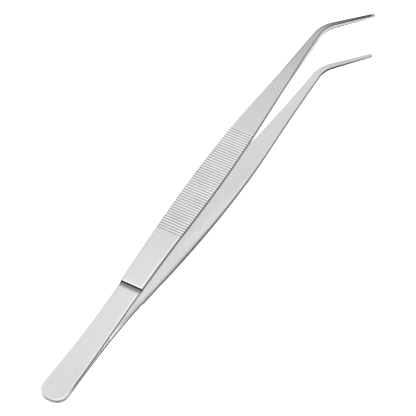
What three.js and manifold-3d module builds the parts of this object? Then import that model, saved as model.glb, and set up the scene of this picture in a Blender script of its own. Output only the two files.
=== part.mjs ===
// Long curved planting tweezers for an aquarium: two mirror-image stainless blades, spot-welded at the butt.
// Units are millimetres. +X runs from the butt to the tips, the tips bend towards -Y, and +Z is up.
// Lengths along a blade are measured from the butt. The origin is where the lower grip lies on the table.
import * as THREE from 'three';
import { mergeVertices } from 'three/addons/utils/BufferGeometryUtils.js';
import Module from 'manifold-3d';

const wasm = await Module();
wasm.setup();

// ---- Driving dimensions ----

// Outline of a blade, seen on its broad face
const OVERALL_LENGTH = 270;
const BUTT_WIDTH = 12.9;
const BUTT_ROUND_LENGTH = 6.3;
const BUTT_ROUND_FULLNESS = 2.3; // 2 is an ellipse, more is squarer
const WAIST_AT = 55;
const WAIST_WIDTH = 10.6;
const GRIP_AT = 128;
const GRIP_WIDTH = 13.6;
const SHOULDER_WIDTH = 11.9; // a third of the way from the grip to the bend
const JAW_WIDTH = 7.1; // two thirds of the way from the grip to the bend
const BEND_WIDTH = 3.7;
const BEND_TAPER = 0.8; // the taper's slope where it runs into the bend, as a share of the jaw's
const TIP_ROOT_WIDTH = 3;
const TIP_END_WIDTH = 2.2;
const BEND_ANGLE = THREE.MathUtils.degToRad(40);
const BEND_RADIUS = 15.5;
const TIP_LENGTH = 22; // straight stretch after the bend

// Thickness of a blade
const BUTT_THICKNESS = 1.3;
const STEP_FOOT_THICKNESS = 1.25; // the spring section at the foot of the step
const GRIP_THICKNESS = 2.05;
const TIP_THICKNESS = 0.85;
const STEP_AT = 67.6;
const STEP_FILLET = 0.6;
const STEP_SIDE_SHOULDER = 0.2; // how far the thick part stands out past the spring section on each edge

// Bow of a blade: half the gap between the two inner faces. The grooved grip is flat.
const WELDED_LENGTH = 15;
const STEP_HALF_GAP = 3.6;
const GRIP_REAR_HALF_GAP = 6.95;
const GRIP_FRONT_HALF_GAP = 11.5;
const JAW_HALF_GAP = 12.6; // half way from the grooves to the bend
const TIP_HALF_GAP = 13.05;

// Cross grooves on the outer face of the grip
const GROOVE_COUNT = 47;
const GROOVE_PITCH = 1.448;
const GROOVE_START = 100.2;
const GROOVE_WIDTH = 0.8;
const GROOVE_DEPTH = 0.25;

// Where a blade bends when it is squeezed, and the welds that join the blades
const FLEX_AT = 42;
const WELD_DIAMETER = 4.6;
const WELD_THICKNESS = 0.9;
const WELD_POSITIONS = { spot_weld_rear: 5.5, spot_weld_front: 12 };

// Clearances
const PIECE_GAP = 0.3; // between pieces that touch, and across a cut

// Fineness of the curved stretches
const STATION_STEP = 4;
const BUTT_ROUND_STEPS = 14;
const BEND_STEPS = 10;
const TIP_ROUND_STEPS = 8;
const FILLET_STEPS = 5;
const WELD_SIDES = 32;

// ---- Sizes that follow ----

const BEND_AT = OVERALL_LENGTH - BEND_RADIUS * Math.sin(BEND_ANGLE) - TIP_LENGTH * Math.cos(BEND_ANGLE);
const BEND_ARC = BEND_RADIUS * BEND_ANGLE;
const SPINE_LENGTH = BEND_AT + BEND_ARC + TIP_LENGTH;
const GRIP_TO_BEND = BEND_AT - GRIP_AT;
const GROOVE_END = GROOVE_START + (GROOVE_COUNT - 1) * GROOVE_PITCH;
const FLAT_START = GROOVE_START - GROOVE_PITCH / 2;
const FLAT_END = GROOVE_END + GROOVE_PITCH / 2;
const FLAT_SLOPE = (GRIP_FRONT_HALF_GAP - GRIP_REAR_HALF_GAP) / (FLAT_END - FLAT_START);

const steel = { color: 0xd6d8d9, roughness: 0.34, metalness: 1 };
const weldedSteel = { color: 0xb9bbbd, roughness: 0.55, metalness: 1 };

/** A cubic curve through [position, value] stations, with the given slopes at its two ends. */
function smoothCurve(stations, startSlope, endSlope) {
  const x = stations.map((station) => station[0]);
  const y = stations.map((station) => station[1]);
  const last = x.length - 1;
  const span = x.slice(1).map((value, i) => value - x[i]);
  const rise = y.slice(1).map((value, i) => (value - y[i]) / span[i]);
  // Slopes at the stations, by elimination down the stations and back
  const slope = [startSlope];
  const carry = [0];
  for (let i = 1; i < last; i += 1) {
    const left = span[i];
    const right = span[i - 1];
    const pivot = 2 * (left + right) - left * carry[i - 1];
    carry[i] = right / pivot;
    slope[i] = (3 * (left * rise[i - 1] + right * rise[i]) - left * slope[i - 1]) / pivot;
  }
  slope[last] = endSlope;
  for (let i = last - 1; i > 0; i -= 1) slope[i] -= carry[i] * slope[i + 1];
  return (position) => {
    const at = THREE.MathUtils.clamp(position, x[0], x[last]);
    const i = Math.min(x.findLastIndex((start) => start <= at), last - 1);
    const t = (at - x[i]) / span[i];
    const u = 1 - t;
    const chord = y[i] * u + y[i + 1] * t;
    return chord + t * u * span[i] * (u * (slope[i] - rise[i]) - t * (slope[i + 1] - rise[i]));
  };
}

const widthCurve = smoothCurve([
  [0, BUTT_WIDTH],
  [WAIST_AT, WAIST_WIDTH],
  [GRIP_AT, GRIP_WIDTH],
  [GRIP_AT + GRIP_TO_BEND / 3, SHOULDER_WIDTH],
  [GRIP_AT + GRIP_TO_BEND * 2 / 3, JAW_WIDTH],
  [BEND_AT, BEND_WIDTH],
], (WAIST_WIDTH - BUTT_WIDTH) / WAIST_AT, BEND_TAPER * (BEND_WIDTH - JAW_WIDTH) / (GRIP_TO_BEND / 3));

const springGapCurve = smoothCurve([
  [WELDED_LENGTH, 0],
  [STEP_AT, STEP_HALF_GAP],
  [FLAT_START, GRIP_REAR_HALF_GAP],
], 0, FLAT_SLOPE);

const jawGapCurve = smoothCurve([
  [FLAT_END, GRIP_FRONT_HALF_GAP],
  [(FLAT_END + BEND_AT) / 2, JAW_HALF_GAP],
  [BEND_AT, TIP_HALF_GAP],
], FLAT_SLOPE, 0);

/** Half the width of a blade at a distance along its spine. */
function halfWidth(along) {
  if (along > BEND_AT + BEND_ARC) {
    const share = (along - BEND_AT - BEND_ARC) / TIP_LENGTH;
    return THREE.MathUtils.lerp(TIP_ROOT_WIDTH, TIP_END_WIDTH, share) / 2;
  }
  if (along > BEND_AT) {
    return THREE.MathUtils.lerp(BEND_WIDTH, TIP_ROOT_WIDTH, (along - BEND_AT) / BEND_ARC) / 2;
  }
  const half = widthCurve(along) / 2;
  if (along >= BUTT_ROUND_LENGTH) return half;
  const inset = 1 - along / BUTT_ROUND_LENGTH;
  return half * (1 - inset ** BUTT_ROUND_FULLNESS) ** (1 / BUTT_ROUND_FULLNESS);
}

/** The thick part's shoulder on each edge: full at the step, gone at the bend. */
function sideShoulder(along) {
  if (along < STEP_AT || along > BEND_AT) return 0;
  return STEP_SIDE_SHOULDER * (BEND_AT - along) / (BEND_AT - STEP_AT);
}

/** The spine's point and heading: straight to the bend, round it, and straight to the tip. */
function spineAt(along) {
  if (along <= BEND_AT) return { x: along, y: 0, heading: 0 };
  const heading = -Math.min((along - BEND_AT) / BEND_RADIUS, BEND_ANGLE);
  const past = Math.max(along - BEND_AT - BEND_ARC, 0);
  return {
    x: BEND_AT - BEND_RADIUS * Math.sin(heading) + past * Math.cos(heading),
    y: -BEND_RADIUS * (1 - Math.cos(heading)) + past * Math.sin(heading),
    heading,
  };
}

/** Distances along the spine at which the outline has points, apart from the round tip. */
function outlineStations() {
  const stations = [];
  for (let i = 1; i <= BUTT_ROUND_STEPS; i += 1) {
    const quarter = (Math.PI / 2) * (i / BUTT_ROUND_STEPS);
    stations.push(BUTT_ROUND_LENGTH * (1 - Math.cos(quarter)));
  }
  const straight = Math.round((BEND_AT - BUTT_ROUND_LENGTH) / STATION_STEP);
  for (let i = 1; i < straight; i += 1) {
    const at = THREE.MathUtils.lerp(BUTT_ROUND_LENGTH, BEND_AT, i / straight);
    if (Math.abs(at - STEP_AT) > STATION_STEP / 4) stations.push(at);
  }
  for (let i = 0; i <= BEND_STEPS; i += 1) stations.push(BEND_AT + BEND_ARC * i / BEND_STEPS);
  stations.push(SPINE_LENGTH - TIP_END_WIDTH / 2);
  return stations;
}

/** A blade's outline on the XY plane, with its round butt, sideways bend and round tip. */
function bladeOutline() {
  const left = [];
  const right = [];
  const place = (along, half) => {
    const { x, y, heading } = spineAt(along);
    left.push(new THREE.Vector2(x - half * Math.sin(heading), y + half * Math.cos(heading)));
    right.push(new THREE.Vector2(x + half * Math.sin(heading), y - half * Math.cos(heading)));
  };
  const stations = outlineStations();
  const step = stations.findIndex((along) => along > STEP_AT);
  stations.slice(0, step).forEach((along) => place(along, halfWidth(along)));
  place(STEP_AT, halfWidth(STEP_AT));
  place(STEP_AT, halfWidth(STEP_AT) + STEP_SIDE_SHOULDER);
  stations.slice(step).forEach((along) => place(along, halfWidth(along) + sideShoulder(along)));
  const tip = spineAt(SPINE_LENGTH - TIP_END_WIDTH / 2);
  const tipHalf = halfWidth(SPINE_LENGTH - TIP_END_WIDTH / 2);
  const round = [];
  for (let i = 1; i < TIP_ROUND_STEPS; i += 1) {
    const turn = tip.heading + Math.PI / 2 - Math.PI * i / TIP_ROUND_STEPS;
    round.push(new THREE.Vector2(tip.x + tipHalf * Math.cos(turn), tip.y + tipHalf * Math.sin(turn)));
  }
  return new THREE.Shape([new THREE.Vector2(0, 0), ...left, ...round, ...right.reverse()]);
}

/** Height of a blade's inner face over the plane between the blades. */
function innerFace(x) {
  if (x < FLAT_START) return PIECE_GAP / 2 + springGapCurve(x);
  if (x > FLAT_END) return PIECE_GAP / 2 + jawGapCurve(x);
  return PIECE_GAP / 2 + GRIP_REAR_HALF_GAP + FLAT_SLOPE * (x - FLAT_START);
}

/** Height of a blade's outer face over the plane between the blades. */
function outerFace(x, pastStep) {
  if (!pastStep) {
    return innerFace(x) + THREE.MathUtils.lerp(BUTT_THICKNESS, STEP_FOOT_THICKNESS, x / STEP_AT);
  }
  const share = Math.max((x - BEND_AT) / (OVERALL_LENGTH - BEND_AT), 0);
  return innerFace(x) + THREE.MathUtils.lerp(GRIP_THICKNESS, TIP_THICKNESS, share);
}

/** The outer face's points across the step: the foot of its fillet, the fillet and its top edge. */
function stepPoints() {
  const top = outerFace(STEP_AT, true);
  const foot = outerFace(STEP_AT, false);
  const radius = Math.min(STEP_FILLET, top - foot);
  const points = [];
  for (let i = 0; i <= FILLET_STEPS; i += 1) {
    const turn = (Math.PI / 2) * (i / FILLET_STEPS);
    const x = STEP_AT - radius * (1 - Math.sin(turn));
    points.push([x, outerFace(x, false) + radius * (1 - Math.cos(turn))]);
  }
  points.push([STEP_AT, top]);
  return points;
}

/** The outer face's points across one groove: its two edges and its bottom. */
function groovePoints(x) {
  return [
    [x - GROOVE_WIDTH / 2, outerFace(x - GROOVE_WIDTH / 2, true)],
    [x, outerFace(x, true) - GROOVE_DEPTH],
    [x + GROOVE_WIDTH / 2, outerFace(x + GROOVE_WIDTH / 2, true)],
  ];
}

/** Evenly spaced positions from one end to the other, both ends included. */
function evenly(from, to) {
  const count = Math.max(Math.round((to - from) / STATION_STEP), 1);
  return Array.from({ length: count + 1 }, (_, i) => THREE.MathUtils.lerp(from, to, i / count));
}

/** A blade's outer face from butt to tip as [x, height] points. */
function outerFacePoints() {
  const foot = STEP_AT - STEP_FILLET - STATION_STEP / 2;
  const points = evenly(-1, foot).map((x) => [x, outerFace(x, false)]);
  points.push(...stepPoints());
  const toGrooves = evenly(STEP_AT, FLAT_START).slice(1);
  points.push(...toGrooves.map((x) => [x, outerFace(x, true)]));
  for (let i = 0; i < GROOVE_COUNT; i += 1) points.push(...groovePoints(GROOVE_START + i * GROOVE_PITCH));
  const toBend = evenly(FLAT_END, BEND_AT);
  points.push(...toBend.map((x) => [x, outerFace(x, true)]));
  points.push([OVERALL_LENGTH + 1, outerFace(OVERALL_LENGTH + 1, true)]);
  return points;
}

/** A blade seen from the side, between its bowed inner and outer faces; side is 1 upper, -1 lower. */
function bladeProfile(side) {
  const bends = [...evenly(WELDED_LENGTH, FLAT_START), ...evenly(FLAT_END, BEND_AT)];
  const inner = [-1, ...bends, OVERALL_LENGTH + 1].map((x) => [x, innerFace(x)]);
  const around = [...outerFacePoints(), ...inner.reverse()];
  return new THREE.Shape(around.map(([x, height]) => new THREE.Vector2(x, side * height)));
}

/** The closed solid of a geometry, for cutting and joining. */
function toSolid(geometry) {
  const bare = geometry.index ? geometry.toNonIndexed() : geometry.clone();
  bare.deleteAttribute('normal');
  bare.deleteAttribute('uv');
  const merged = mergeVertices(bare, 1e-4);
  return new wasm.Manifold(new wasm.Mesh({
    numProp: 3,
    vertProperties: new Float32Array(merged.attributes.position.array),
    triVerts: new Uint32Array(merged.index.array),
  }));
}

/** The geometry of a closed solid. */
function toGeometry(solid) {
  const { vertProperties, triVerts } = solid.getMesh();
  const geometry = new THREE.BufferGeometry();
  geometry.setAttribute('position', new THREE.BufferAttribute(vertProperties, 3));
  geometry.setIndex(new THREE.BufferAttribute(triVerts, 1));
  geometry.computeVertexNormals();
  return geometry;
}

/** A box between two corners. */
function boxBetween(low, high) {
  const size = high.map((value, i) => value - low[i]);
  const middle = high.map((value, i) => (value + low[i]) / 2);
  return new THREE.BoxGeometry(...size).translate(...middle);
}

/** One whole blade: its outline and its side profile, each carried through the other. */
function bladeSolid(side) {
  const reach = GRIP_WIDTH + TIP_LENGTH + BEND_RADIUS;
  const height = TIP_HALF_GAP + GRIP_THICKNESS + GRIP_WIDTH;
  const plan = new THREE.ExtrudeGeometry(bladeOutline(), { depth: 2 * height, bevelEnabled: false });
  plan.translate(0, 0, -height);
  const profile = new THREE.ExtrudeGeometry(bladeProfile(side), { depth: 2 * reach, bevelEnabled: false });
  profile.rotateX(Math.PI / 2);
  profile.translate(0, reach, 0);
  return toSolid(plan).intersect(toSolid(profile));
}

/** The pocket that a spot weld fills in both blades. */
function weldPocket(along) {
  const radius = WELD_DIAMETER / 2 + PIECE_GAP;
  const pocket = new THREE.CylinderGeometry(radius, radius, WELD_THICKNESS + 2 * PIECE_GAP, WELD_SIDES);
  pocket.rotateX(Math.PI / 2);
  pocket.translate(along, 0, 0);
  return toSolid(pocket);
}

/** The welded end of a blade, up to the cut at its flexing place. */
function bladeButt(blade, side) {
  const wide = BUTT_WIDTH + GRIP_WIDTH;
  const low = [-wide, -wide, -wide];
  const end = toSolid(boxBetween(low, [FLEX_AT - PIECE_GAP / 2, wide, wide]));
  const pockets = Object.values(WELD_POSITIONS).map(weldPocket);
  const butt = pockets.reduce((piece, pocket) => piece.subtract(pocket), blade.intersect(end));
  return makeMesh(`${side}_blade_butt`, toGeometry(butt), steel);
}

/** The long part of a blade that moves, from the cut at its flexing place to the tip. */
function bladeArm(blade, side) {
  const far = OVERALL_LENGTH * 2;
  const rest = toSolid(boxBetween([FLEX_AT + PIECE_GAP / 2, -far, -far], [far, far, far]));
  return makeMesh(`${side}_blade_arm`, toGeometry(blade.intersect(rest)), steel);
}

/** A spot weld: the lens of fused metal between the two blades. */
function spotWeld(name, along) {
  const rim = WELD_DIAMETER / 2;
  const half = WELD_THICKNESS / 2;
  const profile = [[0, -half], [rim * 0.7, -half * 0.8], [rim, 0], [rim * 0.7, half * 0.8], [0, half]];
  const points = profile.map(([radius, height]) => new THREE.Vector2(radius, height));
  const weld = makeMesh(name, new THREE.LatheGeometry(points, WELD_SIDES), weldedSteel);
  weld.rotation.x = Math.PI / 2;
  weld.position.set(along, 0, 0);
  return weld;
}

/** A named mesh with its own material. */
function makeMesh(name, geometry, finish) {
  const mesh = new THREE.Mesh(geometry, new THREE.MeshStandardMaterial(finish));
  mesh.name = name;
  return mesh;
}

/** Lays the tweezers on the lower blade's flat grip, with the land beside its middle groove at the origin. */
function layOnTable(pieces) {
  const groove = GROOVE_START + Math.floor(GROOVE_COUNT / 2) * GROOVE_PITCH;
  const land = groove + GROOVE_PITCH / 2;
  pieces.position.set(-land, 0, outerFace(land, true));
  const table = new THREE.Group();
  table.rotation.y = -Math.atan(FLAT_SLOPE);
  table.add(pieces);
  return table;
}

const pieces = new THREE.Group();
for (const [side, sign] of [['upper', 1], ['lower', -1]]) {
  const blade = bladeSolid(sign);
  pieces.add(bladeButt(blade, side), bladeArm(blade, side));
}
for (const [name, along] of Object.entries(WELD_POSITIONS)) pieces.add(spotWeld(name, along));

const tweezers = new THREE.Group();
tweezers.add(layOnTable(pieces));
export default tweezers;
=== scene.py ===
"""Long curved planting tweezers for an aquarium: two sprung stainless blades, spot-welded at the butt.

A blade is worked out in millimetres in its own frame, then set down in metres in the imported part's frame:
x runs from the butt along the blade, y across it, and z outwards from the plane between the two blades.
"""

import math

import bmesh
import bpy
import numpy as np
from mathutils import Matrix, Vector


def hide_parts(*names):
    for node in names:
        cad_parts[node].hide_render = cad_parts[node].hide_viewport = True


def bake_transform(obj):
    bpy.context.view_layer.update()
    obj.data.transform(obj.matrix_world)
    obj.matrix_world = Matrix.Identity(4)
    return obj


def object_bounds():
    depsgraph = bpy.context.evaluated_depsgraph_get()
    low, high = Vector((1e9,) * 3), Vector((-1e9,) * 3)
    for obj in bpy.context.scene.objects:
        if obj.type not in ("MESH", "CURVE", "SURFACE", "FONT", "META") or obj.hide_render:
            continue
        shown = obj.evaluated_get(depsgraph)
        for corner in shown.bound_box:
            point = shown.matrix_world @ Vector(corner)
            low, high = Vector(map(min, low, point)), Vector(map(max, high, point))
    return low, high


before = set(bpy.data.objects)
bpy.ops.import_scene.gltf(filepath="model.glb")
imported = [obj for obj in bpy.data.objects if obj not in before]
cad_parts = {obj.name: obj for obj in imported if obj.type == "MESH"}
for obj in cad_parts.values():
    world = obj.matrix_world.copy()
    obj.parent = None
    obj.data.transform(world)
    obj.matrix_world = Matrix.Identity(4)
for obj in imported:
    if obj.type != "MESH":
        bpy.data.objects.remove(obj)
cad_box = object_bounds()
scene = bpy.context.scene

# ---- Sizes of a blade, in millimetres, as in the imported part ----

OVERALL_LENGTH = 270.0
BUTT_WIDTH = 12.9
BUTT_ROUND_LENGTH = 6.3
BUTT_ROUND_FULLNESS = 2.3
WAIST_AT = 55.0
WAIST_WIDTH = 10.6
GRIP_AT = 128.0
GRIP_WIDTH = 13.6
SHOULDER_WIDTH = 11.9
JAW_WIDTH = 7.1
BEND_WIDTH = 3.7
BEND_TAPER = 0.8
TIP_ROOT_WIDTH = 3.0
TIP_END_WIDTH = 2.2
BEND_ANGLE = math.radians(40)
BEND_RADIUS = 15.5
TIP_LENGTH = 22.0

BUTT_THICKNESS = 1.3
STEP_FOOT_THICKNESS = 1.25
GRIP_THICKNESS = 2.05
TIP_THICKNESS = 0.85
STEP_AT = 67.6
STEP_SIDE_SHOULDER = 0.2

WELDED_LENGTH = 15.0
STEP_HALF_GAP = 3.6
GRIP_REAR_HALF_GAP = 6.95
GRIP_FRONT_HALF_GAP = 11.5
JAW_HALF_GAP = 12.6
TIP_HALF_GAP = 13.05

GROOVE_COUNT = 47
GROOVE_PITCH = 1.448
GROOVE_START = 100.2
GROOVE_WIDTH = 0.8
GROOVE_DEPTH = 0.25
GROOVE_BLUNT = 0.88  # share of a sharp vee's depth that is cut, which leaves it a narrow flat floor
GROOVE_TOUCH = 0.01  # a point no further than this under a groove's surface counts as in it

HALF_CUT = 0.15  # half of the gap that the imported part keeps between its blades

# ---- Edges, in millimetres ----

OUTER_EDGE = 0.28  # tumbled round on the outside
INNER_EDGE = 0.12
BUTT_INNER_EDGE = 0.03  # the welded edges meet in one seam
STEP_RUN = 1.7  # how far the grinding wheel's hollow runs out from the foot of the step
STEP_TOP_EDGE = 0.12
TIP_CROWN = 0.08  # how much lower the outer face is at its edges than in the middle, at the tip
TIP_OUTER_EDGE = 0.16
TIP_RUBBED_EDGE = 0.6  # the edge on the inside of the bend is rubbed rounder

# ---- Sizes that follow ----

BEND_AT = OVERALL_LENGTH - BEND_RADIUS * math.sin(BEND_ANGLE) - TIP_LENGTH * math.cos(BEND_ANGLE)
BEND_ARC = BEND_RADIUS * BEND_ANGLE
SPINE_LENGTH = BEND_AT + BEND_ARC + TIP_LENGTH
GRIP_TO_BEND = BEND_AT - GRIP_AT
GROOVE_END = GROOVE_START + (GROOVE_COUNT - 1) * GROOVE_PITCH
FLAT_START = GROOVE_START - GROOVE_PITCH / 2
FLAT_END = GROOVE_END + GROOVE_PITCH / 2
FLAT_SLOPE = (GRIP_FRONT_HALF_GAP - GRIP_REAR_HALF_GAP) / (FLAT_END - FLAT_START)

# ---- Stretches where an edge or the finish changes, in millimetres along the spine ----

PAST_BUTT = (4, 12)
INNER_EDGE_GROWS = (WELDED_LENGTH, 40)
SPRING_SECTION = (25, 75)
# Where the painted light in the gap near the weld fades out
GAP_LIGHT_ENDS = (50, 68)
STEP_HOLLOW = (STEP_AT - 3.3, STEP_AT - 1.1)
STEP_CORNER = (STEP_AT - 0.9, STEP_AT - 0.1)
STEP_LIP = (STEP_AT + 0.3, STEP_AT + 1.2)
PAST_STEP = (STEP_AT, 110)
PAST_GRIP = (FLAT_END - 0.5, FLAT_END + 0.5)
JAW = (FLAT_END, BEND_AT)
SLIM_JAW = (178, 212)
JAW_RIM = (205, 228)
JAW_END = (205, BEND_AT)
JAW_FACET = (212, 230)
EDGES_CHANGE = (BEND_AT - 40, BEND_AT)
CROWN_RISES = (BEND_AT - 30, BEND_AT + BEND_ARC)
BENT_TIP = (BEND_AT - 2, BEND_AT + BEND_ARC + 4)
TIP_SHADE = (255, 272)
TIP_ROUND = (SPINE_LENGTH - 2.0, SPINE_LENGTH - 1.2)
TIP_RIM = (SPINE_LENGTH - 1.2, SPINE_LENGTH - 0.2)

# ---- How worn the places round a cross-section are, and how bright a highlight is painted on them: 0 is as ground, 1 is a bare edge ----

WEAR_AND_HIGHLIGHT = {
    "outer_face": 0,
    "rim": 0.3,
    "outer_edge": 1,
    "outer_wall": 0.2,
    "inner_wall": 0.2,
    "inner_edge": 0.6,
    "inner_face": 0,
}
# Painted highlight along the step's top edge
STEP_LIP_HIGHLIGHT = 1.4
# Painted highlight on the lands between the grooves
GRIP_LAND_HIGHLIGHT = 1  # the lands between the grooves

# ---- Share of painted shade and painted dark reflections at those places ----

BUTT_WALL_SHADE = 0.72
# Painted shadow in the grinding hollow before the step
HOLLOW_SHADES = {STEP_HOLLOW: 0.7, STEP_CORNER: 0.3}
# Painted dark reflection on the outer faces of the bent tips
TIP_FACE_SHADES = {BENT_TIP: 0.42, TIP_SHADE: 0.15}
# Painted dark line along the jaw's rim
JAW_RIM_SHADE = 0.6
# Painted light: the lower blade's outer wall is painted lighter just past the step
LIT_WALL_SHADE = 0.6  # what the lower blade's outer wall loses just past the step
# For each place: the share along the blade, the share at the butt, and what each stretch adds
FACE_SHADES = {
    "outer_face": (0, 0, {SPRING_SECTION: 0.035, PAST_GRIP: 0.055, JAW: 0.14, JAW_END: 0.1}),
    "inner_face": (0.03, 0.03, {BENT_TIP: 0.14}),
}
UPPER_SHADES = FACE_SHADES | {
    "outer_edge": (0.9, 0.1, {JAW_FACET: -0.65, BENT_TIP: -0.15}),
    "outer_wall": (1, BUTT_WALL_SHADE, {JAW_FACET: -0.85, BENT_TIP: 0.7}),
    "inner_wall": (0.85, BUTT_WALL_SHADE, {SLIM_JAW: -0.7, JAW_FACET: 0.85}),
    "inner_edge": (0.5, BUTT_WALL_SHADE, {SLIM_JAW: -0.5, JAW_FACET: 1}),
}
LOWER_SHADES = FACE_SHADES | {
    "outer_edge": (0.85, 0.85, {}),
    "outer_wall": (1, BUTT_WALL_SHADE, {}),
    "inner_wall": (1, BUTT_WALL_SHADE, {}),
    "inner_edge": (1, BUTT_WALL_SHADE, {}),
    "inner_face": (0.03, 0.03, {BENT_TIP: 0.14, TIP_RIM: 0.3}),
}

# ---- Cross-sections and their points: spacings in millimetres, and counts ----

PLAIN_SPACING = 2.5
FINE_SPACING = 0.4
FINE_RUN = 5  # how far before the step the fine spacing starts
STEP_TOP_RUN = 1  # how far past the step the plain spacing takes up again
TIP_SPACING = 1.5
BUTT_SECTIONS = 25
HOLLOW_SECTIONS = 10
LIP_SECTIONS = 3
BEND_SECTIONS = 24
TIP_ROUND_SECTIONS = 12
GROOVE_SECTIONS = (-0.56, -0.48, -0.36, -0.14, 0, 0.14, 0.36, 0.48, 0.56)  # in groove widths off its middle

ACROSS = 9  # points across each broad face
CORNER = 4  # steps round each edge
WALL_DEPTHS = (0.3, 0.7)  # where a wall has points, as shares of the way down it
EDGE_PLACES = ["outer_edge"] * CORNER + ["outer_wall", "inner_wall"] + ["inner_edge"] * CORNER
SMOOTH_BELOW = math.radians(38)  # faces that meet at less are shaded as one

# The grinding lines follow a flat map of the blade, and these keep them apart on its walls and inner face
WALL_FLOW_STEP = 0.3
INNER_FLOW_SHIFT = 40


def smooth_curve(stations, start_slope, end_slope):
    """A cubic curve through (position, value) stations, with the given slopes at its two ends."""
    x, y = (np.array(v, float) for v in zip(*stations))
    last = len(x) - 1
    span = np.diff(x)
    rise = np.diff(y) / span
    system = np.eye(last + 1)
    wanted = np.zeros(last + 1)
    wanted[0], wanted[last] = start_slope, end_slope
    for i in range(1, last):
        system[i, i - 1 : i + 2] = span[i], 2 * (span[i - 1] + span[i]), span[i - 1]
        wanted[i] = 3 * (span[i] * rise[i - 1] + span[i - 1] * rise[i])
    slope = np.linalg.solve(system, wanted)

    def curve(position):
        at = min(max(position, x[0]), x[last])
        i = min(int(np.searchsorted(x, at, side="right")) - 1, last - 1)
        t = (at - x[i]) / span[i]
        u = 1 - t
        chord = y[i] * u + y[i + 1] * t
        return chord + t * u * span[i] * (u * (slope[i] - rise[i]) - t * (slope[i + 1] - rise[i]))

    return curve


width_curve = smooth_curve(
    [
        (0, BUTT_WIDTH),
        (WAIST_AT, WAIST_WIDTH),
        (GRIP_AT, GRIP_WIDTH),
        (GRIP_AT + GRIP_TO_BEND / 3, SHOULDER_WIDTH),
        (GRIP_AT + GRIP_TO_BEND * 2 / 3, JAW_WIDTH),
        (BEND_AT, BEND_WIDTH),
    ],
    (WAIST_WIDTH - BUTT_WIDTH) / WAIST_AT,
    BEND_TAPER * (BEND_WIDTH - JAW_WIDTH) / (GRIP_TO_BEND / 3),
)
spring_gap = smooth_curve(
    [(WELDED_LENGTH, 0), (STEP_AT, STEP_HALF_GAP), (FLAT_START, GRIP_REAR_HALF_GAP)], 0, FLAT_SLOPE
)
jaw_gap = smooth_curve(
    [(FLAT_END, GRIP_FRONT_HALF_GAP), ((FLAT_END + BEND_AT) / 2, JAW_HALF_GAP), (BEND_AT, TIP_HALF_GAP)],
    FLAT_SLOPE,
    0,
)


def lerp(a, b, share):
    return a + (b - a) * share


def ease(position, start, end):
    """0 before start, 1 after end, and a smooth rise between."""
    t = min(max((position - start) / (end - start), 0), 1)
    return t * t * (3 - 2 * t)


def half_width(along):
    """Half the width of a blade at a distance along its spine, with its round tip."""
    if along > BEND_AT + BEND_ARC:
        half = lerp(TIP_ROOT_WIDTH, TIP_END_WIDTH, (along - BEND_AT - BEND_ARC) / TIP_LENGTH) / 2
        radius = TIP_END_WIDTH / 2
        past = along - (SPINE_LENGTH - radius)
        if past > 0:
            half *= math.sqrt(max(1 - (past / radius) ** 2, 0))
        return half
    if along > BEND_AT:
        return lerp(BEND_WIDTH, TIP_ROOT_WIDTH, (along - BEND_AT) / BEND_ARC) / 2
    half = width_curve(along) / 2
    if along >= BUTT_ROUND_LENGTH:
        return half
    inset = 1 - along / BUTT_ROUND_LENGTH
    return half * (1 - inset**BUTT_ROUND_FULLNESS) ** (1 / BUTT_ROUND_FULLNESS)


def spine_at(along):
    """The spine's point and heading: straight to the bend, round it, and straight to the tip."""
    heading = -min(max(along - BEND_AT, 0) / BEND_RADIUS, BEND_ANGLE)
    past = max(along - BEND_AT - BEND_ARC, 0)
    x = min(along, BEND_AT) - BEND_RADIUS * math.sin(heading) + past * math.cos(heading)
    y = -BEND_RADIUS * (1 - math.cos(heading)) + past * math.sin(heading)
    return x, y, heading


def inner_face(x):
    """Height of the inner face over the plane between the blades. The welded ends touch."""
    lift = HALF_CUT * ease(x, WELDED_LENGTH, STEP_AT)
    if x < FLAT_START:
        return lift + spring_gap(x)
    if x > FLAT_END:
        return lift + jaw_gap(x)
    return lift + GRIP_REAR_HALF_GAP + FLAT_SLOPE * (x - FLAT_START)


def outer_face(x, past_step):
    """Height of the outer face over the plane between the blades."""
    if not past_step:
        return inner_face(x) + lerp(BUTT_THICKNESS, STEP_FOOT_THICKNESS, x / STEP_AT)
    share = min(max((x - BEND_AT) / (OVERALL_LENGTH - BEND_AT), 0), 1)
    return inner_face(x) + lerp(GRIP_THICKNESS, TIP_THICKNESS, share)


def spread(start, end, step):
    """Even positions from start up to, but without, end."""
    count = max(round((end - start) / step), 1)
    return [lerp(start, end, i / count) for i in range(count)]


def quarter_turn(steps):
    """Angles from 0 to a right angle, both of them included."""
    return [math.pi / 2 * i / steps for i in range(steps + 1)]


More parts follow.
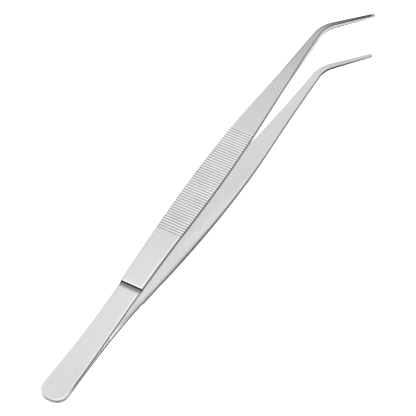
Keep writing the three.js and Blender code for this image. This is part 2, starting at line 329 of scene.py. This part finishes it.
def blade_stations():
    """(distance along the spine, outer height or None, shoulder) for each cross-section of a blade."""
    thin = [BUTT_ROUND_LENGTH * (1 - math.cos(turn)) for turn in quarter_turn(BUTT_SECTIONS)[1:-1]]
    thin += spread(BUTT_ROUND_LENGTH, STEP_AT - FINE_RUN, PLAIN_SPACING)
    thin += spread(STEP_AT - FINE_RUN, STEP_AT - STEP_RUN, FINE_SPACING)
    stations = [(along, None, 0) for along in thin]

    top = outer_face(STEP_AT, True)
    hollow = top - outer_face(STEP_AT, False) - STEP_TOP_EDGE
    for turn in quarter_turn(HOLLOW_SECTIONS):
        along = STEP_AT - STEP_RUN * (1 - math.sin(turn))
        rise = 1 - math.cos(turn)
        stations.append((along, outer_face(along, False) + hollow * rise, STEP_SIDE_SHOULDER * rise))
    for turn in quarter_turn(LIP_SECTIONS)[1:]:
        along = STEP_AT + STEP_TOP_EDGE * (1 - math.cos(turn))
        stations.append((along, top - STEP_TOP_EDGE * (1 - math.sin(turn)), STEP_SIDE_SHOULDER))

    thick = spread(STEP_AT + STEP_TOP_RUN, FLAT_START, PLAIN_SPACING)
    for groove in range(GROOVE_COUNT):
        middle = GROOVE_START + groove * GROOVE_PITCH
        thick.append(middle - GROOVE_PITCH / 2)
        thick += [middle + share * GROOVE_WIDTH for share in GROOVE_SECTIONS]
    thick += spread(FLAT_END, BEND_AT, PLAIN_SPACING)
    thick += spread(BEND_AT, BEND_AT + BEND_ARC, BEND_ARC / BEND_SECTIONS)
    tip_radius = TIP_END_WIDTH / 2
    thick += spread(BEND_AT + BEND_ARC, SPINE_LENGTH - tip_radius, TIP_SPACING)
    for turn in quarter_turn(TIP_ROUND_SECTIONS)[:-1]:
        thick.append(SPINE_LENGTH - tip_radius + tip_radius * math.sin(turn))
    for along in thick:
        fade = min(max((BEND_AT - along) / (BEND_AT - STEP_AT), 0), 1)
        stations.append((along, None, STEP_SIDE_SHOULDER * fade))
    return stations


def side_points(stations, side):
    """(point, outward direction) of the outline on one side at each station, before the shoulder."""
    points = [(0, 0)]
    for along, _, _ in stations:
        x, y, heading = spine_at(along)
        half = half_width(along) * side
        points.append((x - half * math.sin(heading), y + half * math.cos(heading)))
    points = np.array([*points, spine_at(SPINE_LENGTH)[:2]])
    tangents = points[2:] - points[:-2]
    tangents /= np.hypot(*tangents.T)[:, None]
    outward = np.column_stack((-tangents[:, 1], tangents[:, 0])) * side
    return list(zip(points[1:-1], outward))


def edge_marks(along, tip_edge, crown):
    """(inset, depth, lift) of the points down one side of a cross-section, from outside to inside.

    The depth is 0 at the outer face and 1 at the inner one, and the lift is added to it in millimetres.
    """
    outer = lerp(OUTER_EDGE, tip_edge, ease(along, *EDGES_CHANGE))
    inner = lerp(BUTT_INNER_EDGE, INNER_EDGE, ease(along, *INNER_EDGE_GROWS))
    turns = quarter_turn(CORNER)
    marks = [(outer * (1 - math.sin(turn)), 0, -crown - outer * (1 - math.cos(turn))) for turn in turns]
    marks += [(0, depth, lerp(-outer, inner, depth)) for depth in WALL_DEPTHS]
    marks += [(inner * (1 - math.cos(turn)), 1, inner * (1 - math.sin(turn))) for turn in turns]
    return marks


def added_shade(along, shades):
    """What the stretches add up to at a distance along the spine."""
    return sum(share * ease(along, *stretch) for stretch, share in shades.items())


def painted_shade_shares(along, side):
    """How much painted shade shows at each place round a cross-section.

    Bright steel mirrors the unlit room in thin lines along its edges. Here those reflections, the shadow in
    the step's hollow and the shaded jaws and tips are painted into the colour, so they differ
    between the two blades: side is 1 for the upper one and -1 for the lower.
    """
    butt = 1 - ease(along, *PAST_BUTT)
    shares = {}
    for place, (blade, end, added) in (UPPER_SHADES if side > 0 else LOWER_SHADES).items():
        shares[place] = lerp(blade, end, butt) + added_shade(along, added)
    # Painted shadow in the hollow before the step
    hollow = added_shade(along, HOLLOW_SHADES) if along < STEP_AT else 0
    before_round = 1 - ease(along, *TIP_ROUND)
    # Painted dark reflections on the bent tips and along the jaw's rim
    shares["outer_face"] += hollow + added_shade(along, TIP_FACE_SHADES) * before_round
    shares["rim"] = shares["outer_face"] + JAW_RIM_SHADE * ease(along, *JAW_RIM) * before_round
    if side > 0:
        shares["outer_edge"] = max(hollow, shares["outer_edge"])
    elif along > STEP_AT - STEP_RUN:
        # Painted light on the lower blade's outer edge and wall just past the step
        lit = 1 - ease(along, *PAST_STEP)
        shares["outer_edge"] *= 1 - lit
        shares["outer_wall"] -= LIT_WALL_SHADE * lit
    return shares


def blade_ring(station, side, left, right):
    """Points round a cross-section: x, y, z, outer height, how worn it is with its painted highlight, painted
    shade share, painted light in the gap, and place on the map.

    left and right are the outline's point and outward direction on the blade's two sides.
    """
    along, height, shoulder = station
    half = half_width(along) + shoulder
    crown = TIP_CROWN * ease(along, *CROWN_RISES)
    shares = painted_shade_shares(along, side)
    # Painted light on the inner faces in the narrow gap near the weld
    gap_light = 1 - ease(along, *GAP_LIGHT_ENDS)
    # Painted highlight along the step's top edge and on the grip's lands, which also makes them glossier
    wear_and_highlight_level = STEP_LIP_HIGHLIGHT * (1 - ease(along, *STEP_LIP)) if along >= STEP_AT else 0
    if FLAT_START < along < FLAT_END:
        wear_and_highlight_level = GRIP_LAND_HIGHLIGHT
    wear_and_highlight = WEAR_AND_HIGHLIGHT | {"outer_face": wear_and_highlight_level, "rim": max(wear_and_highlight_level, WEAR_AND_HIGHLIGHT["rim"])}

    def point(spot, depth, lift, place, across):
        x, y = spot
        outside = outer_face(x, along >= STEP_AT) if height is None else height
        z = lerp(outside, inner_face(x), depth) + lift
        gap_light_share = gap_light if place == "inner_face" else 0
        return x, y, z, outside, wear_and_highlight[place], shares[place], gap_light_share, along, across

    def edge(outline, tip_edge):
        """(spot, depth, lift) down one side."""
        corner, outward = outline
        marks = edge_marks(along, tip_edge, crown)
        return [(corner + outward * (shoulder - inset), depth, lift) for inset, depth, lift in marks]

    def edge_points(marks, sign):
        """The points between the two broad faces, whose corners are the first and the last mark."""
        rows = enumerate(zip(marks[1:-1], EDGE_PLACES), start=1)
        return [point(*mark, place, sign * (half + k * WALL_FLOW_STEP)) for k, (mark, place) in rows]

    left_edge, right_edge = edge(left, TIP_OUTER_EDGE), edge(right, TIP_RUBBED_EDGE)
    shares_across = [k / (ACROSS - 1) for k in range(ACROSS)]
    ring = []
    for share in shares_across:
        spot = lerp(left_edge[0][0], right_edge[0][0], share)
        place = "rim" if share in (0, 1) else "outer_face"
        ring.append(point(spot, 0, -crown * (2 * share - 1) ** 2, place, half * (1 - 2 * share)))
    ring += edge_points(right_edge, -1)
    for share in shares_across:
        spot = lerp(right_edge[-1][0], left_edge[-1][0], share)
        ring.append(point(spot, 1, 0, "inner_face", -half * (1 - 2 * share) - INNER_FLOW_SHIFT))
    ring += reversed(edge_points(left_edge, 1))
    return ring


def skin_faces(rings, around):
    """Faces between neighbouring rings of points, and a strip of faces across each end."""
    faces = []
    for i in range(rings - 1):
        for k in range(around):
            n = (k + 1) % around
            faces.append((i * around + k, i * around + n, (i + 1) * around + n, (i + 1) * around + k))
    side = len(EDGE_PLACES)
    right = [ACROSS + k for k in range(side)]
    left = [around - 1 - k for k in range(side)]
    cap = [[*range(ACROSS), right[0], left[0]]]
    cap += [[left[k], right[k], right[k + 1], left[k + 1]] for k in range(side - 1)]
    cap.append([right[-1], *range(ACROSS + side, 2 * ACROSS + side), left[-1]])
    last = (rings - 1) * around
    return faces + cap + [[last + k for k in reversed(face)] for face in cap]


def blade_mesh(name, side):
    """One blade in its own frame, in metres, its outer face up. The grooves are cut afterwards."""
    stations = blade_stations()
    outlines = zip(side_points(stations, 1), side_points(stations, -1))
    rings = np.array([blade_ring(station, side, *outline) for station, outline in zip(stations, outlines)])
    x, y, z, outside, wear_and_highlight, shade_share, gap_light, along, across = rings.reshape(-1, rings.shape[2]).T
    mesh = bpy.data.meshes.new(name)
    mesh.from_pydata((np.column_stack((x, y, z)) / 1000).tolist(), [], skin_faces(*rings.shape[:2]))
    marked = {
        "outer_height": outside / 1000,
        "wear_and_painted_highlight": wear_and_highlight,
        "painted_shade_share": shade_share,
        "painted_gap_light": gap_light,
    }
    for label, values in marked.items():
        mesh.attributes.new(label, "FLOAT", "POINT").data.foreach_set("value", values.astype(np.float32))
    flow = (np.column_stack((along, across)) / 100).astype(np.float32)
    uv = mesh.uv_layers.new(name="blade_flow")
    corner_verts = np.zeros(len(mesh.loops), int)
    mesh.loops.foreach_get("vertex_index", corner_verts)
    uv.data.foreach_set("uv", flow[corner_verts].ravel())
    mesh.validate()
    work = bmesh.new()
    work.from_mesh(mesh)
    bmesh.ops.recalc_face_normals(work, faces=work.faces)
    work.to_mesh(mesh)
    work.free()
    return mesh


# ---- Nodes ----


def linear(hex_colour):
    """A linear RGBA from an sRGB hex colour."""
    parts = [int(hex_colour[i : i + 2], 16) / 255 for i in (1, 3, 5)]
    return (*[c / 12.92 if c <= 0.04045 else ((c + 0.055) / 1.055) ** 2.4 for c in parts], 1)


def add_node(tree, kind, settings=None, links=None):
    """A node of one kind, with its own settings, and values or linked sockets for its inputs."""
    node = tree.nodes.new(kind)
    for key, value in (settings or {}).items():
        setattr(node, key, value)
    for key, value in (links or {}).items():
        if isinstance(value, bpy.types.NodeSocket):
            tree.links.new(value, node.inputs[key])
        else:
            node.inputs[key].default_value = value
    return node


def new_material(name):
    material = bpy.data.materials.new(name)
    material.use_nodes = True
    material.node_tree.nodes.clear()
    return material


# What the marks on a blade do to it: painted shade in the grooves, painted highlight on worn edges, and
# changes of gloss and relief
# Painted shade in the groove bottoms
GROOVE_SHADE = 0.6
# Strength of the painted highlight on worn edges
PAINTED_HIGHLIGHT_STRENGTH = 0.75
RUBBED_SMOOTHER = 0.08
# How much glossier the strip with painted gap light is
GAP_SMOOTHER = 0.12
CLOUD_SWING = 0.035
PIT_RELIEF = 0.35


def steel_material(name, light, dark, roughness, lines_per_100_mm):
    """Satin stainless: soft even gloss, hair-fine grinding lines along the blade, smoother worn edges, and
    painted highlights, painted shade and painted light in its colour.
    """
    material = new_material(name)
    tree = material.node_tree
    uv = add_node(tree, "ShaderNodeUVMap", {"uv_map": "blade_flow"})
    # Grinding lines, drawn coarse enough to show: one unit of the blade's flat map is 100 mm
    lines_at = add_node(
        tree,
        "ShaderNodeMapping",
        None,
        {"Vector": uv.outputs["UV"], "Scale": (*lines_per_100_mm, 1)},
    )
    lines = add_node(
        tree,
        "ShaderNodeTexNoise",
        {"noise_dimensions": "2D"},
        {"Vector": lines_at.outputs["Vector"], "Scale": 1.0, "Detail": 5.0, "Roughness": 0.62},
    )
    # Clouding from handling and drying marks, some 12 mm across
    body = add_node(tree, "ShaderNodeTexCoord")
    clouds = add_node(
        tree,
        "ShaderNodeTexNoise",
        None,
        {"Vector": body.outputs["Object"], "Scale": 85.0, "Detail": 3.0, "Roughness": 0.5},
    )
    # Fine pitting of the satin blast, 0.25 mm apart
    pits = add_node(
        tree,
        "ShaderNodeTexNoise",
        None,
        {"Vector": body.outputs["Object"], "Scale": 4000.0, "Detail": 2.0, "Roughness": 0.6},
    )
    # Worn edges: smoother, and with a painted highlight in their colour
    wear_and_highlight = add_node(tree, "ShaderNodeAttribute", {"attribute_name": "wear_and_painted_highlight"})
    # Painted shade and painted dark reflections, as a share of the dark colour
    shade_share = add_node(tree, "ShaderNodeAttribute", {"attribute_name": "painted_shade_share"})
    # How deep in a groove a point lies, for the painted shade there
    groove = add_node(tree, "ShaderNodeAttribute", {"attribute_name": "groove_depth"})
    # Painted light on the inner faces in the narrow gap near the weld, which also makes that strip glossier
    gap_light_share = add_node(tree, "ShaderNodeAttribute", {"attribute_name": "painted_gap_light"})
    # Painted shade: the groove bottoms and the painted shade share pull the colour towards the dark colour
    darker = add_node(
        tree,
        "ShaderNodeMath",
        {"operation": "MULTIPLY_ADD", "use_clamp": True},
        {0: groove.outputs["Fac"], 1: GROOVE_SHADE, 2: shade_share.outputs["Fac"]},
    )
    wear_and_highlight_level = add_node(
        tree,
        "ShaderNodeMapRange",
        None,
        {"Value": clouds.outputs["Fac"], "From Min": 0.35, "From Max": 0.65, "To Min": 0.35, "To Max": 1.0},
    )
    patchy_wear_and_highlight = add_node(
        tree,
        "ShaderNodeMath",
        {"operation": "MULTIPLY"},
        {0: wear_and_highlight.outputs["Fac"], 1: wear_and_highlight_level.outputs["Result"]},
    )
    tone = add_node(
        tree,
        "ShaderNodeMapRange",
        None,
        {"Value": lines.outputs["Fac"], "From Min": 0.25, "From Max": 0.75, "To Min": 0.0, "To Max": 1.0},
    )
    face = add_node(
        tree,
        "ShaderNodeMix",
        {"data_type": "RGBA"},
        {"Factor": tone.outputs["Result"], "A": linear(light[0]), "B": linear(light[1])},
    )
    # Painted highlight on worn edges, and painted light in the gap near the weld, mixed towards near-white
    bright = add_node(
        tree,
        "ShaderNodeMath",
        {"operation": "MULTIPLY_ADD", "use_clamp": True},
        {0: patchy_wear_and_highlight.outputs["Value"], 1: PAINTED_HIGHLIGHT_STRENGTH, 2: gap_light_share.outputs["Fac"]},
    )
    edged = add_node(
        tree,
        "ShaderNodeMix",
        {"data_type": "RGBA"},
        {"Factor": bright.outputs["Value"], "A": face.outputs["Result"], "B": linear("#fbfbfb")},
    )
    colour = add_node(
        tree,
        "ShaderNodeMix",
        {"data_type": "RGBA"},
        {"Factor": darker.outputs["Value"], "A": edged.outputs["Result"], "B": linear(dark)},
    )
    cloudy = add_node(
        tree,
        "ShaderNodeMapRange",
        None,
        {
            "Value": clouds.outputs["Fac"],
            "From Min": 0.3,
            "From Max": 0.7,
            "To Min": roughness - CLOUD_SWING,
            "To Max": roughness + CLOUD_SWING,
        },
    )
    smoother = add_node(
        tree,
        "ShaderNodeMath",
        {"operation": "MULTIPLY_ADD"},
        {0: patchy_wear_and_highlight.outputs["Value"], 1: -RUBBED_SMOOTHER, 2: cloudy.outputs["Result"]},
    )
    gloss = add_node(
        tree,
        "ShaderNodeMath",
        {"operation": "MULTIPLY_ADD"},
        {0: gap_light_share.outputs["Fac"], 1: -GAP_SMOOTHER, 2: smoother.outputs["Value"]},
    )
    relief = add_node(
        tree,
        "ShaderNodeMath",
        {"operation": "MULTIPLY_ADD"},
        {0: pits.outputs["Fac"], 1: PIT_RELIEF, 2: lines.outputs["Fac"]},
    )
    bump = add_node(
        tree,
        "ShaderNodeBump",
        None,
        {"Strength": 0.35, "Distance": 0.00001, "Height": relief.outputs["Value"]},
    )
    shader = add_node(
        tree,
        "ShaderNodeBsdfPrincipled",
        None,
        {
            "Base Color": colour.outputs["Result"],
            "Metallic": 1.0,
            "Roughness": gloss.outputs["Value"],
            "Normal": bump.outputs["Normal"],
        },
    )
    out = add_node(tree, "ShaderNodeOutputMaterial")
    tree.links.new(shader.outputs["BSDF"], out.inputs["Surface"])
    return material


def weld_material():
    """Fused stainless of a spot weld: dull, heat-tinted straw to grey, and slightly rippled."""
    material = new_material("fused_spot_weld_steel")
    tree = material.node_tree
    body = add_node(tree, "ShaderNodeTexCoord")
    tint = add_node(
        tree,
        "ShaderNodeTexNoise",
        None,
        {"Vector": body.outputs["Object"], "Scale": 700.0, "Detail": 4.0, "Roughness": 0.55},
    )
    colour = add_node(
        tree,
        "ShaderNodeMix",
        {"data_type": "RGBA"},
        {"Factor": tint.outputs["Fac"], "A": linear("#8f9091"), "B": linear("#b3a78f")},
    )
    rough = add_node(
        tree,
        "ShaderNodeMapRange",
        None,
        {"Value": tint.outputs["Fac"], "From Min": 0.3, "From Max": 0.7, "To Min": 0.42, "To Max": 0.6},
    )
    bump = add_node(
        tree,
        "ShaderNodeBump",
        None,
        {"Strength": 0.5, "Distance": 0.00005, "Height": tint.outputs["Fac"]},
    )
    shader = add_node(
        tree,
        "ShaderNodeBsdfPrincipled",
        None,
        {
            "Base Color": colour.outputs["Result"],
            "Metallic": 1.0,
            "Roughness": rough.outputs["Result"],
            "Normal": bump.outputs["Normal"],
        },
    )
    out = add_node(tree, "ShaderNodeOutputMaterial")
    tree.links.new(shader.outputs["BSDF"], out.inputs["Surface"])
    return material


def groove_tree():
    """Cuts a row of cross grooves into the outer face, by lowering what stands above a groove's surface."""
    tree = bpy.data.node_groups.new("cross_grooves", "GeometryNodeTree")
    sockets = [
        ("Blade", "NodeSocketGeometry", None),
        ("First Groove", "NodeSocketFloat", 0.1),
        ("Pitch", "NodeSocketFloat", 0.001),
        ("Count", "NodeSocketInt", 1),
        ("Width", "NodeSocketFloat", 0.001),
        ("Depth", "NodeSocketFloat", 0.0002),
        ("Finish", "NodeSocketMaterial", None),
    ]
    for label, kind, value in sockets:
        socket = tree.interface.new_socket(label, in_out="INPUT", socket_type=kind)
        if value is not None:
            socket.default_value = value
    tree.interface.new_socket("Blade", in_out="OUTPUT", socket_type="NodeSocketGeometry")
    given = add_node(tree, "NodeGroupInput").outputs
    place = add_node(tree, "GeometryNodeInputPosition")
    xyz = add_node(tree, "ShaderNodeSeparateXYZ", None, {"Vector": place.outputs["Position"]})

    outside = add_node(
        tree,
        "GeometryNodeInputNamedAttribute",
        {"data_type": "FLOAT"},
        {"Name": "outer_height"},
    )
    known = {socket.name: socket for socket in given if socket.name}
    known |= {"x": xyz.outputs["X"], "z": xyz.outputs["Z"], "outside": outside.outputs["Attribute"]}
    sums = (
        ("from first", "SUBTRACT", "x", "First Groove"),
        ("steps", "DIVIDE", "from first", "Pitch"),
        ("whole steps", "ROUND", "steps"),
        ("not before", "MAXIMUM", "whole steps", 0.0),
        ("last", "SUBTRACT", "Count", 1.0),
        ("nearest", "MINIMUM", "not before", "last"),
        ("steps off", "SUBTRACT", "steps", "nearest"),
        ("steps away", "ABSOLUTE", "steps off"),
        ("away", "MULTIPLY", "steps away", "Pitch"),
        ("half width", "MULTIPLY", "Width", 0.5),
        ("share", "DIVIDE", "away", "half width"),
        ("slope", "SUBTRACT", 1.0, "share"),
        ("vee", "MAXIMUM", "slope", 0.0),
        ("blunt vee", "MINIMUM", "vee", GROOVE_BLUNT),
        ("cut", "MULTIPLY", "blunt vee", "Depth"),
        ("surface", "SUBTRACT", "outside", "cut"),
        ("just under", "SUBTRACT", "surface", GROOVE_TOUCH / 1000),
        ("in groove", "GREATER_THAN", "z", "just under"),
        ("mark", "MULTIPLY", "in groove", "vee"),
        ("lowered", "MINIMUM", "z", "surface"),
    )
    for label, operation, *values in sums:
        inputs = {i: known.get(value, value) for i, value in enumerate(values)}
        known[label] = add_node(tree, "ShaderNodeMath", {"operation": operation}, inputs).outputs["Value"]
    moved = add_node(
        tree,
        "ShaderNodeCombineXYZ",
        None,
        {"X": xyz.outputs["X"], "Y": xyz.outputs["Y"], "Z": known["lowered"]},
    )
    # Marks how deep in a groove each point lies, for painted shade in the groove bottoms
    marked = add_node(
        tree,
        "GeometryNodeStoreNamedAttribute",
        {"data_type": "FLOAT", "domain": "POINT"},
        {"Geometry": given["Blade"], "Name": "groove_depth", "Value": known["mark"]},
    )
    grooved = add_node(
        tree,
        "GeometryNodeSetPosition",
        None,
        {"Geometry": marked.outputs["Geometry"], "Position": moved.outputs["Vector"]},
    )
    plain = add_node(tree, "GeometryNodeRealizeInstances", None, {"Geometry": grooved.outputs["Geometry"]})
    finish = add_node(
        tree,
        "GeometryNodeSetMaterial",
        None,
        {"Geometry": plain.outputs["Geometry"], "Material": given["Finish"]},
    )
    out = add_node(tree, "NodeGroupOutput")
    tree.links.new(finish.outputs["Geometry"], out.inputs["Blade"])
    return tree


def cut_grooves(mesh, tree, finish):
    """The blade's mesh with its grooves cut and its finish on, as a plain mesh."""
    carrier = bpy.data.objects.new("blade_blank", mesh)
    scene.collection.objects.link(carrier)
    modifier = carrier.modifiers.new("cross_grooves", "NODES")
    modifier.node_group = tree
    wanted = {
        "First Groove": GROOVE_START / 1000,
        "Pitch": GROOVE_PITCH / 1000,
        "Count": GROOVE_COUNT,
        "Width": GROOVE_WIDTH / 1000,
        "Depth": GROOVE_DEPTH / 1000,
        "Finish": finish,
    }
    for item in tree.interface.items_tree:
        if item.in_out == "INPUT" and item.name in wanted:
            modifier[item.identifier] = wanted[item.name]
    grooved = bpy.data.meshes.new_from_object(carrier.evaluated_get(bpy.context.evaluated_depsgraph_get()))
    bpy.data.objects.remove(carrier)
    return grooved


def table_frame():
    """From a blade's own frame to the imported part's: the lower blade's flat grip lies level on the table."""
    land = GROOVE_START + (GROOVE_COUNT // 2) * GROOVE_PITCH + GROOVE_PITCH / 2
    height = HALF_CUT + GRIP_REAR_HALF_GAP + FLAT_SLOPE * (land - FLAT_START) + GRIP_THICKNESS
    shift = Matrix.Translation((-land / 1000, 0, height / 1000))
    return Matrix.Rotation(-math.atan(FLAT_SLOPE), 4, "Y") @ shift


def place_blade(name, mesh, side):
    """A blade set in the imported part's frame; side is 1 for the upper blade and -1 for the lower."""
    mesh.name = name
    mesh.transform(table_frame() @ Matrix.Diagonal((1, 1, side, 1)))
    if side < 0:
        mesh.flip_normals()
    mesh.attributes.remove(mesh.attributes["outer_height"])
    work = bmesh.new()
    work.from_mesh(mesh)
    for face in work.faces:
        face.smooth = True
    for edge in work.edges:
        edge.smooth = len(edge.link_faces) == 2 and edge.calc_face_angle(0) < SMOOTH_BELOW
    work.to_mesh(mesh)
    work.free()
    piece = bpy.data.objects.new(name, mesh)
    scene.collection.objects.link(piece)
    return piece


# ---- Camera: above and behind the butt, looking forward and down along the blades ----

CAMERA_AT = Vector((-0.58768, -0.31433, 0.65275))
CAMERA_AHEAD = Vector((0.63175, 0.33752, -0.69783)).normalized()
CAMERA_RIGHT = Vector((0.49686, -0.8673, 0.03032)).normalized()

camera = bpy.data.objects.new("camera", bpy.data.cameras.new("camera"))
scene.collection.objects.link(camera)
scene.camera = camera
camera.data.lens = 173.47
camera.data.sensor_width = 36
camera.data.clip_start = 0.05
camera.data.clip_end = 20
axes = Matrix((CAMERA_RIGHT, CAMERA_RIGHT.cross(CAMERA_AHEAD).normalized(), -CAMERA_AHEAD))
camera.matrix_world = Matrix.Translation(CAMERA_AT) @ axes.transposed().to_4x4()

# ---- Floor ----

FLOOR_REACH = 6
FLOOR_DROP = 0.00002  # keeps the floor just clear of the grip that lies on it

floor = bpy.data.objects.new("floor", bpy.data.meshes.new("floor"))
corners = [(x * FLOOR_REACH, y * FLOOR_REACH, 0) for x, y in ((-1, -1), (1, -1), (1, 1), (-1, 1))]
floor.data.from_pydata(corners, [], [(0, 1, 2, 3)])
scene.collection.objects.link(floor)
floor.location.z = cad_box[0].z - FLOOR_DROP
# Matt white paper, lit from below, so the steel stands on an even pale ground with hardly a shadow
paper = new_material("white_light_table")
paper_shader = add_node(
    paper.node_tree,
    "ShaderNodeBsdfPrincipled",
    None,
    {
        "Base Color": linear("#f2f2f2"),
        "Roughness": 0.9,
        "Specular IOR Level": 0.0,
        "Emission Color": (1, 1, 1, 1),
        "Emission Strength": 0.75,
    },
)
paper_out = add_node(paper.node_tree, "ShaderNodeOutputMaterial")
paper.node_tree.links.new(paper_shader.outputs["BSDF"], paper_out.inputs["Surface"])
floor.data.materials.append(paper)

# ---- Light ----

# A pale tent overhead falls off to a darker room at the sides: (height of the direction, brightness)
TENT = ((0.36, 0.22), (0.66, 0.71), (0.86, 0.71), (0.97, 1))
# A low reflector off the tips throws light back into the gap between the blades
REFLECTOR_TOWARD = (0.94, 0.33, 0.09)
REFLECTOR_COLOUR = (0.8, 0.8, 0.8, 1)

world = bpy.data.worlds.new("studio")
scene.world = world
world.use_nodes = True
sky = world.node_tree
sky.nodes.clear()
direction = add_node(sky, "ShaderNodeTexCoord")
height = add_node(sky, "ShaderNodeSeparateXYZ", None, {"Vector": direction.outputs["Generated"]})
tent = add_node(sky, "ShaderNodeValToRGB", None, {"Fac": height.outputs["Z"]})
stops = tent.color_ramp
stops.interpolation = "EASE"
stops.elements.remove(stops.elements[1])
stops.elements[0].position = TENT[0][0]
for position, _ in TENT[1:]:
    stops.elements.new(position)
for stop, (_, level) in zip(stops.elements, TENT):
    stop.color = (level, level, level, 1)
toward = add_node(
    sky,
    "ShaderNodeVectorMath",
    {"operation": "DOT_PRODUCT"},
    {0: direction.outputs["Generated"], 1: REFLECTOR_TOWARD},
)
reflector = add_node(
    sky,
    "ShaderNodeMapRange",
    {"interpolation_type": "SMOOTHSTEP"},
    {"Value": toward.outputs["Value"], "From Min": 0.84, "From Max": 0.95, "To Min": 0.0, "To Max": 1.0},
)
studio = add_node(
    sky,
    "ShaderNodeMix",
    {"data_type": "RGBA"},
    {"Factor": reflector.outputs["Result"], "A": tent.outputs["Color"], "B": REFLECTOR_COLOUR},
)
background = add_node(sky, "ShaderNodeBackground", None, {"Color": studio.outputs["Result"], "Strength": 1.3})
world_out = add_node(sky, "ShaderNodeOutputWorld")
sky.links.new(background.outputs["Background"], world_out.inputs["Surface"])

scene.view_settings.view_transform = "Standard"
scene.view_settings.look = "None"
scene.cycles.glossy_bounces = 12  # light finds its way out of the narrow gap between the blades

# ---- Blades ----

satin = steel_material(
    "satin_stainless_steel",
    light=("#e5e5e5", "#dddddd"),
    # colour of the painted shade and painted dark reflections
    dark="#252525",
    roughness=0.22,
    lines_per_100_mm=(9, 200),
)
weld = weld_material()
grooves = groove_tree()
for side, sign in (("upper", 1), ("lower", -1)):
    blank = cut_grooves(blade_mesh(f"{side}_blank", sign), grooves, satin)
    blade = place_blade(f"{side}_blade", blank, sign)
    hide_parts(f"{side}_blade_butt", f"{side}_blade_arm")
    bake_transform(blade)
for name in ("spot_weld_rear", "spot_weld_front"):
    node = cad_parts[name]
    node.data.materials.clear()
    node.data.materials.append(weld)
